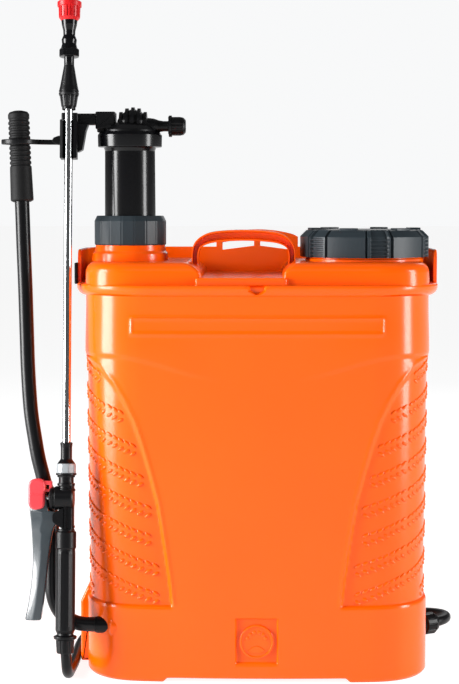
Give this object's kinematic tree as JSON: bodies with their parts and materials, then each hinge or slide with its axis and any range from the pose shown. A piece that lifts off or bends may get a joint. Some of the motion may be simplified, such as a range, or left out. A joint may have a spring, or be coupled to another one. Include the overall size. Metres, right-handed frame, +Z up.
{
  "type": "knapsack sprayer",
  "caption": "Backpack sprayer with a tall moulded tank, hand pump with air chamber and side lever, filler cap, carry handle, clipped lance with trigger valve, hose and shoulder straps.",
  "frame": {"origin": "centre of the underside of the base, on the surface that it stands on", "axes": "+Z up; +Y towards the wearer's back, -Y the outer face; +X to the right of someone facing the outer face"},
  "size_m": [0.4788, 0.3787, 0.6954],
  "materials": {
    "orange_plastic": "smooth blow-moulded HDPE",
    "black_plastic": "moulded, fine grain",
    "black_gloss": "satin moulded",
    "grey_plastic": "satin moulded, blue-grey",
    "red_plastic": "satin moulded",
    "lock_red": "satin moulded",
    "rubber": "matt",
    "steel": "drawn stainless tube",
    "zinc_steel": "zinc plated",
    "lever_paint": "black powder coat",
    "white_plastic": "natural acetal",
    "strap_fabric": "woven polyester"
  },
  "bodies": {
    "sprayer": {"air_chamber": "black_gloss", "base_cover": "black_plastic", "base_cover_screws": "zinc_steel", "battery_pack": "black_plastic", "carry_handle": "orange_plastic", "chamber_valve_seat": "black_plastic", "filler_strainer": "black_plastic", "gun_body": "black_gloss", "gun_handle": "black_gloss", "gun_hose_nut": "black_gloss", "hose": "rubber", "inline_filter": "black_plastic", "inner_hoses": "rubber", "lance_clip": "black_gloss", "lance_seal": "rubber", "lance_socket": "black_gloss", "lance_tube": "steel", "left_shoulder_pad": "strap_fabric", "lever_bushings": "white_plastic", "lever_hook": "black_gloss", "medallion": "orange_plastic", "neck_collars": "orange_plastic", "nozzle_body": "black_gloss", "nozzle_disc": "white_plastic", "nozzle_socket": "black_gloss", "outlet_fitting": "black_plastic", "outlet_hose_nut": "black_gloss", "pump_cylinder": "black_plastic", "pump_gland_nut": "grey_plastic", "pump_head": "black_gloss", "pump_head_electric": "black_plastic", "pump_motor": "zinc_steel", "pump_seals": "rubber", "right_shoulder_pad": "strap_fabric", "rim_catch": "black_plastic", "rim_guard": "orange_plastic", "shaft_bracket": "black_plastic", "strap_brackets": "black_plastic", "strap_buckles": "black_plastic", "strap_webbing": "strap_fabric", "switch_panel": "black_plastic", "tank_shell": "orange_plastic", "trigger_pin": "steel", "valve_spring": "steel"},
    "lever": {"lever_tube": "lever_paint", "lever_grip": "rubber", "crank_arm": "zinc_steel"},
    "pump_rod": {"piston_rod": "zinc_steel", "piston": "black_plastic", "piston_cup": "rubber"},
    "valve_ball": {"valve_ball": "steel"},
    "trigger": {"trigger": "grey_plastic"},
    "valve_stem": {"valve_stem": "steel"},
    "trigger_lock": {"trigger_lock": "lock_red"},
    "nozzle_cap": {"nozzle_cap": "red_plastic"},
    "cap_seal": {"filler_gasket": "rubber"},
    "filler_cap": {"filler_cap": "grey_plastic"},
    "rocker": {"rocker_switch": "grey_plastic"},
    "port_flap": {"charge_port_flap": "black_plastic"},
    "outlet_cap": {"outlet_cap": "black_gloss"}
  },
  "joints": [
    {"name": "lever_swing", "type": "hinge", "parent": "sprayer", "child": "lever", "pos_m": [-0.16, -0.088, 0.054], "axis": [-1, 0, 0], "range_deg": [0, 50]},
    {"name": "piston_stroke", "type": "slide", "parent": "sprayer", "child": "pump_rod", "axis": [0, 0, -1], "range_m": [0, 0.0597]},
    {"name": "ball_lift", "type": "slide", "parent": "sprayer", "child": "valve_ball", "axis": [0, 0, 1], "range_m": [0, 0.006]},
    {"name": "trigger_squeeze", "type": "hinge", "parent": "sprayer", "child": "trigger", "pos_m": [-0.2027, -0.09803, 0.16682], "axis": [0, -0.9914, 0.1312], "range_deg": [0, 7], "stiffness_Nm_per_rad": 0.8, "springref_deg": -11.46},
    {"name": "stem_pull", "type": "slide", "parent": "sprayer", "child": "valve_stem", "axis": [-1, 0, 0], "range_m": [0, 0.0025], "deforming": ["valve_spring"]},
    {"name": "lock_slide", "type": "slide", "parent": "sprayer", "child": "trigger_lock", "axis": [0, 0.1312, 0.9914], "range_m": [0, 0.005]},
    {"name": "nozzle_turn", "type": "hinge", "parent": "sprayer", "child": "nozzle_cap", "pos_m": [-0.1942, -0.03009, 0.68034], "axis": [0, 0.1312, 0.9914], "range_deg": [0, 270]},
    {"name": "cap_lift", "type": "slide", "parent": "sprayer", "child": "cap_seal", "axis": [0, 0, 1], "range_m": [0, 0.12]},
    {"name": "cap_turn", "type": "hinge", "parent": "cap_seal", "child": "filler_cap", "pos_m": [0.112, -0.02, 0.45], "axis": [0, 0, 1], "continuous": true},
    {"name": "rocker_tilt", "type": "hinge", "parent": "sprayer", "child": "rocker", "pos_m": [-0.012, 0.094, 0.045], "axis": [1, 0, 0], "range_deg": [-8, 8]},
    {"name": "flap_open", "type": "hinge", "parent": "sprayer", "child": "port_flap", "pos_m": [0.015, 0.0988, 0.053], "axis": [1, 0, 0], "range_deg": [0, 110]},
    {"name": "outlet_cap_turn", "type": "hinge", "parent": "sprayer", "child": "outlet_cap", "pos_m": [-0.08, -0.02, 0.566], "axis": [1, 0, 0], "continuous": true}
  ],
  "couplings": [
    {"joint": "piston_stroke", "follows": "lever_swing", "m_per_rad": 0.068},
    {"joint": "stem_pull", "follows": "trigger_squeeze", "m_per_rad": 0.0196}
  ]
}
